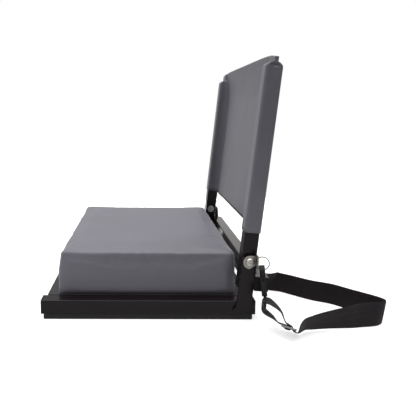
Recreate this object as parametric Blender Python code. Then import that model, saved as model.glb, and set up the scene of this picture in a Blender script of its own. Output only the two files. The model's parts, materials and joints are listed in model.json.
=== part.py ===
"""Folding stadium chair: steel base, vinyl cushion, folding back and a webbing shoulder strap.

Metres, +Z up. The sitter faces -Y and the sitter's left is +X. The origin is on the floor, below
the middle of the base. The back turns about the two pivot bolts, on an axis along X.
"""
import math

import bmesh
import bpy
from mathutils import Matrix, Vector

# Clearances
CLEAR = 0.0003            # between pieces that seat on each other
SPLIT_GAP = 0.0004        # between layers of webbing
CUT = 0.001               # how far a cutter runs past the face that it opens

# Square tube stock
TUBE = 0.0254
TUBE_WALL = 0.0016
TUBE_CORNER = 0.0022
PLUG_CAP = 0.002
PLUG_DEPTH = 0.012

# Base
BASE_LENGTH = 0.376       # side rails with their plugs
CROSS_TUBE = 0.019        # cross rails, a smaller tube under the board
CROSS_SETBACK = 0.012     # cross rails, in from the ends of the side rails
PAD_THICK = 0.009
PAD_SIDE_INSET = 0.002
PAD_END_INSET = 0.0035
PAD_CORNER = 0.004

# Seat
SEAT_WIDTH = 0.4016
SEAT_DEPTH = 0.316
SEAT_FORWARD = 0.0015     # middle of the seat, ahead of the middle of the base
SEAT_HEIGHT = 0.0757
SEAT_CROWN = 0.004
SEAT_EDGE = 0.007         # roll of the top edge
SEAT_CORNER = 0.009       # plan radius of the corners
SEAT_DRAW = 0.0012        # how far the sides draw in between the corners
SEAT_BULGE = 0.0018       # how far the sides swell at mid height
SEAT_TUCK = 0.0015        # how far the cover tucks in at the board
COVER_THICK = 0.0015
BOARD_THICK = 0.006
BOARD_SETBACK = 0.007     # board, in from the ends of the side rails
BOARD_CORNER = 0.003
SCREW_SPACING = 0.24
SCREW_RADIUS = 0.002
SCREW_HEAD_RADIUS = 0.004
SCREW_HEAD_HEIGHT = 0.0025
SCREW_HEAD_RIM = 0.001
SCREW_BITE = 0.0042       # thread length in the board
SCREW_ACCESS_RADIUS = 0.006

# Hinge
SIDE_GAP = 0.0037         # seat side to upright
PIVOT_RISE = 0.072        # pivot above the top of the rails
PIVOT_SETBACK = 0.014     # pivot in from the rear end of the base
LEAN_DEG = 5.35
POST_THICK = 0.004
POST_FOOT_RISE = 0.0075   # foot of the post above the bottom of the rail
POST_TOE = 0.004
POST_TOE_HEIGHT = 0.010
BOLT_RADIUS = 0.003
BOLT_HEAD_RADIUS = 0.0075
BOLT_HEAD_HEIGHT = 0.0036
CROSS_SLOT = 0.0016
CROSS_SLOT_LENGTH = 0.0076
CROSS_SLOT_DEPTH = 0.0014
WASHER_RADIUS = 0.0085
WASHER_THICK = 0.001
NUT_RADIUS = 0.0062
NUT_HEIGHT = 0.0055
BOLT_END = 0.0015         # bolt past its nut
BUSH_RADIUS = 0.0048

# Back
BACK_LENGTH = 0.332       # pivot to the top of the uprights
CROSSBAR_DROP = 0.0253    # pivot to the top of the crossbar
SLEEVE_START = 0.0515     # pivot to the hem of the pockets
SLEEVE_THICK = 0.0018
SLEEVE_ROUND = 0.006
ROOF_RISE = 0.006         # top of a pocket above its upright
SEAM_THICK = 0.003        # the cloth's doubled edge along the top
EAR_RISE = 0.018          # ears above the uprights
EAR_OUT = 0.0035          # ears beyond the sides of the pockets
PANEL_THICK = 0.0024
PANEL_RISE = 0.0195       # ends of the panel's top edge above the uprights
PANEL_ARCH = 0.006        # its middle above its ends
PANEL_BREAK = 0.062       # where the panel starts to lean in, below the uprights' tops

# Strap bracket and split ring
BRACKET_THICK = 0.002
BRACKET_RADIUS = 0.0115
BRACKET_REACH = 0.0098    # bolt to the front face of the flange
FLANGE_OUT = 0.0125       # its upper part, with the ring's hole
FLANGE_RISE = 0.0140      # from the bolt up
FLANGE_STEP = 0.0012
TAIL_OUT = 0.0040         # its lower part, which the ring clears
TAIL_DROP = 0.0200        # from the bolt down
PLATE_DROP = 0.0042       # where the plate meets the flange, below the bolt
RING_HOLE_OUT = 0.0075    # hole from the plate's outer face
RING_HOLE_RISE = 0.0094   # hole above the bolt
RING_HOLE_RADIUS = 0.0032
RING_RADIUS = 0.0113      # centre line
RING_WIRE = 0.0008        # half thickness of the two coils, radially
RING_STACK = 0.0013       # half height of the two coils
RING_HANG = 0.0082        # ring's centre behind its hole
RING_YAW_DEG = 12.0
RING_STEPS = 28

# Snap hook and swivel
HOOK_WIDTH = 0.020
HOOK_FOOT_WIDTH = 0.014
HOOK_THICK = 0.009
HOOK_LEG = 0.005
HOOK_OPENING = 0.015
HOOK_LENGTH = 0.0432      # ring wire to the foot of the hook
NOSE_DROP = 0.0015        # tip of the hook below the centre of its bow
GATE_SINK = 0.0025        # gate's pin below the floor of the mouth
SHOULDER_DROP = 0.004     # where the body starts to taper, below the pin
HOOK_LEAN_DEG = 7.0
HOOK_OUT_DEG = 7.5
GATE_THICK = 0.0038
GATE_WIDTH = 0.0042
GATE_TAB = 0.0032         # thumb tab, out from the gate
GATE_TAB_LOW = 0.005
GATE_TAB_HIGH = 0.010
GATE_TAB_SLOPE = 0.0015
GATE_PIN = 0.0009
GATE_SWING = 0.0017       # room behind the gate's foot
WINDOW_HEIGHT = 0.009     # opening round the head of the swivel
WINDOW_GAP = 0.001
FOOT_WALL = 0.005
SWIVEL_RADIUS = 0.0022
SWIVEL_HEAD_RADIUS = 0.0035
SWIVEL_HEAD_HEIGHT = 0.003
SWIVEL_NECK = 0.002
EYE_BAR = 0.004
EYE_SLOT = 0.005
EYE_SIDE_GAP = 0.002
EYE_TURN_LEFT_DEG = -4.0
EYE_TURN_RIGHT_DEG = 105.0

# Strap and slide
STRAP_WIDTH = 0.040
STRAP_THICK = 0.0018
SLIDE_BAR = 0.0012        # radius of the slide's bars
SLIDE_PITCH = 0.0108      # between its bars
SLIDE_SIDE_GAP = 0.0015
SLIDE_PLACE = (0.2915, 0.2280, 0.0150)
SLIDE_ACROSS = (0.84, -0.30, 0.45)      # from the strap's lower edge to its upper edge
SLIDE_ALONG = (0.40, 0.90, -0.13)       # away from the hook
LOOP_REAR = (-0.0010, 0.0066, 0.0070)   # how far the loop's sides bow out
LOOP_FRONT = (0.0005, -0.0060, -0.0036)

# Derived places
LEAN = math.radians(LEAN_DEG)
RAIL_Z = PAD_THICK + CLEAR
RAIL_TOP = RAIL_Z + TUBE
CROSS_TOP = RAIL_Z + CROSS_TUBE
BOARD_Z = CROSS_TOP + CLEAR
SEAT_Z = BOARD_Z + BOARD_THICK + CLEAR
TUBE_IN_X = SEAT_WIDTH / 2 + SIDE_GAP
TUBE_OUT_X = TUBE_IN_X + TUBE
POST_X = TUBE_OUT_X + WASHER_THICK + 2 * CLEAR
POST_OUT_X = POST_X + POST_THICK
BRACKET_X = POST_OUT_X + CLEAR
PLATE_OUT_X = BRACKET_X + BRACKET_THICK
HEAD_X = PLATE_OUT_X + CLEAR
NUT_X = TUBE_IN_X - 2 * CLEAR - WASHER_THICK
RAIL_OUT_X = POST_X - CLEAR
RAIL_IN_X = RAIL_OUT_X - TUBE
PIVOT = Vector((0, BASE_LENGTH / 2 - PIVOT_SETBACK, RAIL_TOP + PIVOT_RISE))
CROSS_Y = BASE_LENGTH / 2 - CROSS_SETBACK - CROSS_TUBE / 2
TAIL = CROSSBAR_DROP + TUBE
BORE_RADIUS = BOLT_RADIUS + CLEAR
PLUG_INSERT = TUBE - 2 * TUBE_WALL - 2 * CLEAR

# Colours (linear), roughness and metallic value
LOOKS = {
    "paint": ((0.010, 0.008, 0.010), 0.25, 0.0),
    "plastic": ((0.012, 0.011, 0.012), 0.45, 0.0),
    "pad": ((0.018, 0.017, 0.018), 0.8, 0.0),
    "board": ((0.006, 0.004, 0.007), 0.8, 0.0),
    "foam": ((0.55, 0.52, 0.40), 0.9, 0.0),
    "vinyl": ((0.165, 0.162, 0.185), 0.45, 0.0),
    "zinc": ((0.55, 0.55, 0.54), 0.3, 1.0),
    "nylon": ((0.7, 0.7, 0.68), 0.5, 0.0),
    "steel": ((0.22, 0.21, 0.20), 0.35, 1.0),
    "webbing": ((0.012, 0.009, 0.012), 0.8, 0.0),
}


# Small helpers

def clear_scene():
    for item in list(bpy.data.objects):
        bpy.data.objects.remove(item, do_unlink=True)


def paint(name, look):
    colour, roughness, metallic = LOOKS[look]
    mat = bpy.data.materials.new(name + "_" + look)
    mat.use_nodes = True
    shader = mat.node_tree.nodes["Principled BSDF"]
    shader.inputs["Base Color"].default_value = (*colour, 1.0)
    shader.inputs["Roughness"].default_value = roughness
    shader.inputs["Metallic"].default_value = metallic
    return mat


def put(name, bm, look, parent=None):
    """Turn a bmesh into a named object, faces out, smooth where it is round."""
    bmesh.ops.recalc_face_normals(bm, faces=bm.faces)
    mesh = bpy.data.meshes.new(name)
    bm.to_mesh(mesh)
    bm.free()
    mesh.shade_smooth()
    mesh.set_sharp_from_angle(angle=math.radians(35))
    mesh.materials.append(paint(name, look))
    item = bpy.data.objects.new(name, mesh)
    bpy.context.collection.objects.link(item)
    item.parent = parent
    return item


def cutter(name, bm, parent=None):
    item = put(name, bm, "steel", parent)
    item.hide_render = True
    item.display_type = "WIRE"
    return item


def combine(item, other, operation="DIFFERENCE"):
    mod = item.modifiers.new(operation.lower(), "BOOLEAN")
    mod.operation = operation
    mod.solver = "EXACT"
    mod.object = other


def empty(name, matrix, parent=None):
    item = bpy.data.objects.new(name, None)
    bpy.context.collection.objects.link(item)
    item.parent = parent
    item.matrix_local = matrix
    return item


def rounded_rect(width, height, radius, steps=3, side_points=0):
    """Points round a rectangle with round corners, anticlockwise from the lower right side."""
    a, b = width / 2 - radius, height / 2 - radius
    points = []
    for quarter, (cx, cy) in enumerate(((a, b), (-a, b), (-a, -b), (a, -b))):
        for k in range(steps + 1):
            angle = math.pi / 2 * (quarter + k / steps)
            points.append(Vector((cx + radius * math.cos(angle), cy + radius * math.sin(angle))))
        if side_points:
            nx, ny = ((-a, b), (-a, -b), (a, -b), (a, b))[quarter]
            turn = math.pi / 2 * (quarter + 1)
            tail = points[-1]
            head = Vector((nx + radius * math.cos(turn), ny + radius * math.sin(turn)))
            points += [tail.lerp(head, k / (side_points + 1)) for k in range(1, side_points + 1)]
    return points


def circle(radius, steps=24, start=0.0):
    turns = [start + 2 * math.pi * k / steps for k in range(steps)]
    return [Vector((radius * math.cos(t), radius * math.sin(t))) for t in turns]


def skin(bm, loops, caps=True):
    """Quads between successive loops, with a face across each end."""
    rows = [[bm.verts.new(p) for p in loop] for loop in loops]
    for low, high in zip(rows, rows[1:]):
        for k in range(len(low)):
            j = (k + 1) % len(low)
            bm.faces.new((low[k], low[j], high[j], high[k]))
    if caps:
        bm.faces.new(rows[0][::-1])
        bm.faces.new(rows[-1])
    return rows


def bridge(bm, outer, inner):
    for k in range(len(outer)):
        j = (k + 1) % len(outer)
        bm.faces.new((outer[k], outer[j], inner[j], inner[k]))


def hollow(bm, outer_loops, inner_loops):
    """A pipe: an outer and an inner skin joined by a ring at each end."""
    outer = skin(bm, outer_loops, caps=False)
    inner = skin(bm, inner_loops, caps=False)
    bridge(bm, outer[0], inner[0])
    bridge(bm, outer[-1], inner[-1])


def lift(points, z):
    return [Vector((p.x, p.y, z)) for p in points]


def prism(bm, outline, low, high):
    skin(bm, [lift(outline, low), lift(outline, high)])


def pipe(bm, outer, inner, low, high):
    hollow(bm, [lift(outer, low), lift(outer, high)], [lift(inner, low), lift(inner, high)])


def turned(bm, profile, steps=24):
    """A round solid from radius and height pairs, bottom to top."""
    skin(bm, [lift(circle(r, steps), z) for r, z in profile])


def box(bm, low, high):
    low, high = Vector(low), Vector(high)
    outline = [(low.x, low.y), (high.x, low.y), (high.x, high.y), (low.x, high.y)]
    prism(bm, [Vector(p) for p in outline], low.z, high.z)


def moved(build, *matrices):
    """One bmesh with a copy of the built shape at each matrix."""
    bm = bmesh.new()
    for matrix in matrices:
        part = bmesh.new()
        build(part)
        bmesh.ops.transform(part, matrix=matrix, verts=part.verts)
        mesh = bpy.data.meshes.new("copy")
        part.to_mesh(mesh)
        part.free()
        bm.from_mesh(mesh)
        bpy.data.meshes.remove(mesh)
    return bm


AXIS_X = Matrix(((0, 0, 1, 0), (1, 0, 0, 0), (0, 1, 0, 0), (0, 0, 0, 1)))   # z to x, x to y, y to z
AXIS_Y = Matrix(((1, 0, 0, 0), (0, 0, 1, 0), (0, -1, 0, 0), (0, 0, 0, 1)))  # z to y, y to -z
MIRROR = Matrix.Diagonal((-1, 1, 1, 1))
SIDES = (("left", Matrix.Identity(4)), ("right", MIRROR))


def at(x, y, z):
    return Matrix.Translation((x, y, z))


def put_pair(base, build, look, place, parent=None):
    """The same piece on the left, at the given place, and mirrored on the right."""
    return [put(base + "_" + word, moved(build, side @ place), look, parent) for word, side in SIDES]


def tube_stock(length, size=TUBE):
    outer = rounded_rect(size, size, TUBE_CORNER)
    hole = size - 2 * TUBE_WALL
    inner = rounded_rect(hole, hole, TUBE_CORNER - TUBE_WALL)
    return lambda bm: pipe(bm, outer, inner, -length / 2, length / 2)


def plug(bm):
    """Cap on z = 0 to PLUG_CAP outside the tube, insert below it."""
    cap = rounded_rect(TUBE, TUBE, TUBE_CORNER)
    insert = rounded_rect(PLUG_INSERT, PLUG_INSERT, TUBE_CORNER - TUBE_WALL)
    foot = -CLEAR - PLUG_DEPTH
    skin(bm, [lift(insert, foot), lift(insert, 0), lift(cap, 0), lift(cap, PLUG_CAP)])


# Base frame

def base_frame():
    side_length = BASE_LENGTH - 2 * (PLUG_CAP + CLEAR)
    middle = RAIL_Z + TUBE / 2
    side_x = RAIL_OUT_X - TUBE / 2
    put_pair("side_rail", tube_stock(side_length), "paint", at(side_x, 0, middle) @ AXIS_Y)
    cross = tube_stock(2 * (RAIL_IN_X - CLEAR), CROSS_TUBE)
    rails = [put(name, moved(cross, at(0, y, RAIL_Z + CROSS_TUBE / 2) @ AXIS_X), "paint")
             for name, y in (("front_rail", -CROSS_Y), ("rear_rail", CROSS_Y))]
    end = BASE_LENGTH / 2 - PLUG_CAP
    rear = at(side_x, end, middle) @ AXIS_Y
    put_pair("rail_plug_rear", plug, "plastic", rear)
    put_pair("rail_plug_front", plug, "plastic", Matrix.Diagonal((1, -1, 1, 1)) @ rear)
    outline = rounded_rect(2 * (RAIL_OUT_X - PAD_SIDE_INSET), BASE_LENGTH - 2 * PAD_END_INSET, PAD_CORNER)
    pad = bmesh.new()
    prism(pad, outline, 0, PAD_THICK)
    put("base_pad", pad, "pad")
    return rails


def seat_board():
    """Lies on the cross rails, flush with the tops of the side rails."""
    outline = rounded_rect(2 * (RAIL_IN_X - CLEAR), BASE_LENGTH - 2 * BOARD_SETBACK, BOARD_CORNER)
    bm = bmesh.new()
    prism(bm, outline, BOARD_Z, BOARD_Z + BOARD_THICK)
    return put("seat_board", bm, "board")


def board_screws(rails, board):
    """Screws stand inside the cross rails, heads under the top wall, points in the board."""
    spots = [at(x, y, 0) for x in (-SCREW_SPACING / 2, SCREW_SPACING / 2) for y in (-CROSS_Y, CROSS_Y)]
    half = at(SCREW_SPACING / 2, 0, 0)
    ceiling = CROSS_TOP - TUBE_WALL - CLEAR
    tip = BOARD_Z + SCREW_BITE
    head = SCREW_HEAD_RADIUS
    shank = [(head * 0.7, ceiling - SCREW_HEAD_HEIGHT), (head, ceiling - SCREW_HEAD_RIM), (head, ceiling),
             (SCREW_RADIUS, ceiling), (SCREW_RADIUS, tip)]
    for word, y in (("front", -CROSS_Y), ("rear", CROSS_Y)):
        put_pair("board_screw_" + word, lambda bm: turned(bm, shank, 12), "zinc", half @ at(0, y, 0))
    bore = [(SCREW_RADIUS + CLEAR, ceiling - CUT), (SCREW_RADIUS + CLEAR, tip + CLEAR)]
    bores = cutter("cut_screw_bores", moved(lambda bm: turned(bm, bore, 12), *spots))
    floor = RAIL_Z + TUBE_WALL + CUT
    access = [(SCREW_ACCESS_RADIUS, RAIL_Z - CUT), (SCREW_ACCESS_RADIUS, floor)]
    holes = cutter("cut_screw_access", moved(lambda bm: turned(bm, access, 16), *spots))
    for rail in rails:
        combine(rail, bores)
        combine(rail, holes)
    combine(board, bores)


# Seat cushion

def cushion_loops(inset, base, drop):
    """Loops from the board up the side, over the rolled edge and in across the crown."""
    top = SEAT_Z + SEAT_HEIGHT - drop
    edge = SEAT_EDGE
    profile = []
    for k in range(5):
        t = k / 4
        swell = SEAT_BULGE * math.sin(math.pi * min(1, t * 1.1)) - SEAT_TUCK * (1 - t) ** 3
        profile.append((inset - swell, base + t * (top - edge - base)))
    for k in range(1, 5):
        turn = math.pi / 2 * k / 4
        profile.append((inset + edge * (1 - math.cos(turn)), top - edge + edge * math.sin(turn)))
    span = SEAT_DEPTH / 2 - edge - inset
    for k in range(1, 5):
        t = 0.19 * k
        profile.append((inset + edge + t * span, top + SEAT_CROWN * (1 - (1 - t) ** 2)))
    return [lift(cushion_outline(d), z) for d, z in profile]


def cushion_outline(inset):
    """A rectangle with round corners whose sides draw in between the corners."""
    width, depth = SEAT_WIDTH - 2 * inset, SEAT_DEPTH - 2 * inset
    points = rounded_rect(width, depth, SEAT_CORNER, steps=3, side_points=4)
    for p in points:
        along_x = max(0.0, math.cos(math.pi * p.x / width))
        along_y = max(0.0, math.cos(math.pi * p.y / depth))
        p.x -= math.copysign(SEAT_DRAW * along_y, p.x) * (abs(p.x) > width / 2 - SEAT_CORNER / 2)
        p.y -= math.copysign(SEAT_DRAW * along_x, p.y) * (abs(p.y) > depth / 2 - SEAT_CORNER / 2)
    return [p - Vector((0, SEAT_FORWARD)) for p in points]


def seat_cushion():
    foam_inset = COVER_THICK + CLEAR
    foam = bmesh.new()
    skin(foam, cushion_loops(foam_inset, SEAT_Z, foam_inset))
    put("seat_foam", foam, "foam")
    cover = bmesh.new()
    outer = skin(cover, cushion_loops(0, SEAT_Z, 0), caps=False)
    inner = skin(cover, cushion_loops(COVER_THICK, SEAT_Z, COVER_THICK), caps=False)
    bridge(cover, outer[0], inner[0])
    cover.faces.new(outer[-1])
    cover.faces.new(inner[-1])
    put("seat_cover", cover, "vinyl")


# Hinge posts and fasteners

def back_point(w, u):
    """World Y and Z of a point w behind and u above the pivot, along the leaning back."""
    y = PIVOT.y + w * math.cos(LEAN) + u * math.sin(LEAN)
    z = PIVOT.z - w * math.sin(LEAN) + u * math.cos(LEAN)
    return Vector((y, z))


def post_outline():
    half = TUBE / 2
    foot = RAIL_Z + POST_FOOT_RISE
    arc = [back_point(half * math.cos(a), half * math.sin(a))
           for a in (math.pi * k / 12 for k in range(13))]

    def edge(w, z):
        return back_point(w, (z - PIVOT.z + w * math.sin(LEAN)) / math.cos(LEAN))
    toe_top = edge(-half, foot + POST_TOE_HEIGHT)
    toe = edge(-half, foot) - Vector((POST_TOE, 0))
    return arc + [toe_top, toe + Vector((0, POST_TOE_HEIGHT * 0.5)), toe, edge(half, foot)]


def posts(bore):
    outline = post_outline()
    for post in put_pair("post", lambda bm: prism(bm, outline, POST_X, POST_OUT_X), "paint", AXIS_X):
        combine(post, bore)


AXLE = at(*PIVOT) @ AXIS_X      # shapes drawn on z, laid along X at the pivot


def fasteners():
    head = HEAD_X + BOLT_HEAD_HEIGHT
    tip = NUT_X - NUT_HEIGHT - BOLT_END
    bolt = [(BOLT_RADIUS, tip), (BOLT_RADIUS, HEAD_X), (BOLT_HEAD_RADIUS, HEAD_X),
            (BOLT_HEAD_RADIUS, HEAD_X + BOLT_HEAD_HEIGHT * 0.35),
            (BOLT_HEAD_RADIUS * 0.8, HEAD_X + BOLT_HEAD_HEIGHT * 0.85), (BOLT_HEAD_RADIUS * 0.45, head)]
    bolts = put_pair("pivot_bolt", lambda bm: turned(bm, bolt), "zinc", AXLE)
    a, b = CROSS_SLOT / 2, CROSS_SLOT_LENGTH / 2
    plus = [(a, a), (a, b), (-a, b), (-a, a), (-b, a), (-b, -a), (-a, -a), (-a, -b), (a, -b), (a, -a),
            (b, -a), (b, a)]
    spot = [Vector(p) for p in plus]
    for item, (word, side) in zip(bolts, SIDES):
        slot = moved(lambda bm: prism(bm, spot, head - CROSS_SLOT_DEPTH, head + CUT), side @ AXLE)
        combine(item, cutter("cut_cross_slot_" + word, slot))
    hole = circle(BORE_RADIUS)
    disc = circle(WASHER_RADIUS)
    inner = TUBE_IN_X - CLEAR
    outer = TUBE_OUT_X + CLEAR
    put_pair("post_washer", lambda bm: pipe(bm, disc, hole, outer, outer + WASHER_THICK), "nylon", AXLE)
    put_pair("inner_washer", lambda bm: pipe(bm, disc, hole, inner - WASHER_THICK, inner), "zinc", AXLE)
    flats = [p * (math.cos(math.pi / 6) / math.cos((math.atan2(p.y, p.x) % (math.pi / 3)) - math.pi / 6))
             for p in circle(NUT_RADIUS)]
    seat = NUT_X - CLEAR
    put_pair("pivot_nut", lambda bm: pipe(bm, flats, hole, seat - NUT_HEIGHT, seat), "zinc", AXLE)


def strap_brackets(bore):
    """A round-ended plate under the bolt head, bent outward into a flange for the ring."""
    r = BRACKET_RADIUS
    mid = BRACKET_REACH + BRACKET_THICK / 2
    arc = [Vector((PIVOT.y + r * math.cos(a), PIVOT.z + r * math.sin(a)))
           for a in (math.pi / 2 + math.pi * k / 12 for k in range(13))]
    outline = arc + [Vector((PIVOT.y + mid, PIVOT.z - PLATE_DROP)), Vector((PIVOT.y + mid, PIVOT.z + r))]
    front, rear = PIVOT.y + BRACKET_REACH, PIVOT.y + BRACKET_REACH + BRACKET_THICK
    wide, narrow = PLATE_OUT_X + FLANGE_OUT, PLATE_OUT_X + TAIL_OUT
    face = [(BRACKET_X, -TAIL_DROP), (narrow, -TAIL_DROP), (narrow, -FLANGE_STEP), (wide, FLANGE_STEP),
            (wide, FLANGE_RISE), (BRACKET_X, FLANGE_RISE)]
    faces = [[Vector((x, y, PIVOT.z + z)) for x, z in face] for y in (front, rear)]
    hole = ring_hole()
    drill = [(RING_HOLE_RADIUS, -BRACKET_THICK), (RING_HOLE_RADIUS, BRACKET_THICK)]
    plates = put_pair("strap_bracket", lambda bm: prism(bm, outline, BRACKET_X, PLATE_OUT_X), "zinc", AXIS_X)
    for item, (word, side) in zip(plates, SIDES):
        flange = moved(lambda bm: skin(bm, faces), side)
        eye = moved(lambda bm: turned(bm, drill, 16), side @ at(*hole) @ AXIS_Y)
        combine(item, cutter("cut_flange_" + word, flange), "UNION")
        combine(item, bore)
        combine(item, cutter("cut_ring_hole_" + word, eye))


# Folding back

def folding_back(bore):
    """Two uprights on the pivots; only the crossbar and the cover join them."""
    back = empty("back_pivot", at(*PIVOT) @ Matrix.Rotation(-LEAN, 4, "X"))
    x = TUBE_IN_X + TUBE / 2
    low = -TAIL + PLUG_CAP
    high = BACK_LENGTH - PLUG_CAP
    tube = tube_stock(high - low - 2 * CLEAR)
    for upright in put_pair("back_upright", tube, "paint", at(x, 0, (low + high) / 2), back):
        combine(upright, bore)
    flip = Matrix.Rotation(math.pi, 4, "X")
    put_pair("back_plug", plug, "plastic", at(x, 0, low) @ flip, back)
    put_pair("upright_cap", plug, "plastic", at(x, 0, high), back)
    span = TUBE / 2 - TUBE_WALL - CLEAR
    sleeve = [circle(BUSH_RADIUS), circle(BORE_RADIUS)]
    put_pair("pivot_bushing", lambda b: pipe(b, *sleeve, -span, span), "nylon", at(x, 0, 0) @ AXIS_X, back)
    crossbar(back)
    back_cover(back)


def crossbar(back):
    """The tube welded behind the lower ends; it meets the rear edges of the posts."""
    y = TUBE / 2 + CLEAR + TUBE / 2
    z = -CROSSBAR_DROP - TUBE / 2
    length = 2 * (POST_OUT_X - PLUG_CAP - CLEAR)
    put("back_crossbar", moved(tube_stock(length), at(0, y, z) @ AXIS_X), "paint", back)
    put_pair("crossbar_plug", plug, "plastic", at(POST_OUT_X - PLUG_CAP, y, z) @ AXIS_X, back)


POCKET_HALF = TUBE / 2 + CLEAR + SLEEVE_THICK
SEAM_HALF = SEAM_THICK / 2


def pocket(bm):
    """Sleeve over one upright, closed above it by a roof that rises to the seam."""
    plan = rounded_rect(2 * POCKET_HALF, 2 * POCKET_HALF, SLEEVE_ROUND)
    eaves = BACK_LENGTH + CLEAR + SLEEVE_THICK / 2
    ridge = BACK_LENGTH + ROOF_RISE
    sections = [(SLEEVE_START, 1, 1), (eaves, 1, 1), ((eaves + ridge) / 2, 0.985, 0.75),
                (ridge, 0.96, SEAM_HALF / POCKET_HALF)]
    skin(bm, [[Vector((p.x * wide, p.y * deep, u)) for p in plan] for u, wide, deep in sections])
    bmesh.ops.triangulate(bm, faces=bm.faces)


def ear(bm):
    """The end of the top seam, which stands up past the pocket's side."""
    box(bm, (-POCKET_HALF / 2, -SEAM_HALF * 0.9, BACK_LENGTH + 2 * CLEAR),
        (POCKET_HALF + EAR_OUT, SEAM_HALF * 0.9, BACK_LENGTH + EAR_RISE))


def panel(bm):
    """Cloth between the pockets: flush with their rear, leaning in to the seam at the top."""
    reach = TUBE_IN_X + TUBE / 2
    rear = POCKET_HALF - CLEAR / 2
    bend = BACK_LENGTH - PANEL_BREAK
    loops = []
    for k in range(9):
        t = k / 4 - 1
        top = BACK_LENGTH + PANEL_RISE + PANEL_ARCH * (1 - t * t)
        line = [(rear, SLEEVE_START), (rear, bend), (rear * 0.75, bend + 0.8 * PANEL_BREAK), (SEAM_HALF, top)]
        back_face = [Vector((reach * t, w, u)) for w, u in line]
        front_face = [p - Vector((0, PANEL_THICK, 0)) for p in back_face[::-1]]
        loops.append(back_face + front_face)
    skin(bm, loops)
    bmesh.ops.triangulate(bm, faces=bm.faces)


def back_cover(back):
    """A pocket over each upright and a panel between them, sewn together along the top."""
    spots = [side @ at(TUBE_IN_X + TUBE / 2, 0, 0) for _, side in SIDES]
    cover = put("back_cover", moved(pocket, spots[0]), "vinyl", back)
    combine(cover, cutter("cut_pocket", moved(pocket, spots[1]), back), "UNION")
    combine(cover, cutter("cut_panel", moved(panel, Matrix.Identity(4)), back), "UNION")
    combine(cover, cutter("cut_ears", moved(ear, *spots), back), "UNION")
    size = TUBE + 2 * CLEAR
    hole = rounded_rect(size, size, TUBE_CORNER)
    hollows = moved(lambda b: prism(b, hole, 0, BACK_LENGTH + CLEAR), *spots)
    combine(cover, cutter("cut_hollows", hollows, back))


# Ring, hook and swivel on each side

def ring_hole():
    return Vector((PLATE_OUT_X + RING_HOLE_OUT, PIVOT.y + BRACKET_REACH + BRACKET_THICK / 2,
                   PIVOT.z + RING_HOLE_RISE))


def sided(build, side):
    """Build in the left side's local frame, or mirrored for the right side."""
    return moved(build, Matrix.Identity(4) if side > 0 else MIRROR)


def side_matrix(matrix, side):
    return matrix if side > 0 else MIRROR @ matrix @ MIRROR


RING_CENTRE_Z = -math.sqrt(RING_RADIUS ** 2 - RING_HANG ** 2)
RING_CURVE = HOOK_THICK ** 2 / (8 * RING_RADIUS) + HOOK_THICK / 2 * math.sin(math.radians(HOOK_LEAN_DEG))
MOUTH_TOP = RING_STACK + RING_CURVE + CLEAR     # the ring curves up through the hook
MOUTH_HALF = HOOK_WIDTH / 2 - HOOK_LEG
BAIL_Z = MOUTH_TOP - MOUTH_HALF
MOUTH_FLOOR = MOUTH_TOP - HOOK_OPENING
NOSE_Z = BAIL_Z - NOSE_DROP
GATE_X = HOOK_WIDTH / 2 - HOOK_LEG / 2 - CLEAR
GATE_Z = MOUTH_FLOOR - GATE_SINK
EYE_TOP = -HOOK_LENGTH - SWIVEL_NECK
EYE_HALF = STRAP_WIDTH / 2 + EYE_SIDE_GAP + EYE_BAR
BAR_Z = EYE_TOP - 1.5 * EYE_BAR - EYE_SLOT


def split_ring(bm):
    loops = []
    for k in range(RING_STEPS):
        turn = 2 * math.pi * k / RING_STEPS
        out = Vector((0, math.cos(turn), math.sin(turn)))
        loops.append([out * (RING_RADIUS + RING_WIRE * math.cos(a)) + Vector((RING_STACK * math.sin(a), 0, 0))
                      for a in (math.pi / 4 * j for j in range(8))])
    rows = skin(bm, loops, caps=False)
    bridge(bm, rows[-1], rows[0])


def hook_outline():
    half, foot = HOOK_WIDTH / 2, HOOK_FOOT_WIDTH / 2
    arcs = [math.pi * k / 8 for k in range(9)]
    inner = [(MOUTH_HALF * math.cos(a), BAIL_Z + MOUTH_HALF * math.sin(a)) for a in arcs]
    outer = [(-half * math.cos(a), BAIL_Z + half * math.sin(a)) for a in arcs]
    shoulder = GATE_Z - SHOULDER_DROP
    body = [(-MOUTH_HALF, MOUTH_FLOOR), (half, MOUTH_FLOOR), (half, shoulder), (foot, -HOOK_LENGTH),
            (-foot, -HOOK_LENGTH), (-half, shoulder)]
    path = [(MOUTH_HALF, NOSE_Z)] + inner + body + outer + [(half, NOSE_Z)]
    return [Vector(p) for p in path]


def hook_body(name, side, parent):
    outline = hook_outline()
    half = HOOK_THICK / 2
    body = put(name, sided(lambda bm: flat(bm, outline, half), side), "plastic", parent)
    slot = GATE_THICK / 2 + CLEAR

    def cuts(bm):
        box(bm, (GATE_X - GATE_WIDTH / 2 - GATE_SWING, -slot, GATE_Z - GATE_WIDTH / 2 - CLEAR),
            (HOOK_WIDTH, slot, MOUTH_FLOOR + CUT))
    combine(body, cutter("cut_slot_" + name, sided(cuts, side), parent))

    def window(bm):
        foot = -HOOK_LENGTH + FOOT_WALL
        reach = SWIVEL_HEAD_RADIUS + WINDOW_GAP
        box(bm, (-reach, -HOOK_THICK, foot), (reach, HOOK_THICK, foot + WINDOW_HEIGHT))
    combine(body, cutter("cut_window_" + name, sided(window, side), parent))
    radius = SWIVEL_RADIUS + CLEAR
    bore = [(radius, -HOOK_LENGTH - CUT), (radius, -HOOK_LENGTH + FOOT_WALL + CUT)]
    combine(body, cutter("cut_bore_" + name, sided(lambda bm: turned(bm, bore, 16), side), parent))
    pin = [(GATE_PIN + CLEAR, -HOOK_THICK), (GATE_PIN + CLEAR, HOOK_THICK)]
    place = at(GATE_X, 0, GATE_Z) @ AXIS_Y
    holes = moved(lambda bm: turned(bm, pin, 12), place if side > 0 else MIRROR @ place)
    combine(body, cutter("cut_pin_" + name, holes, parent))


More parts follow.
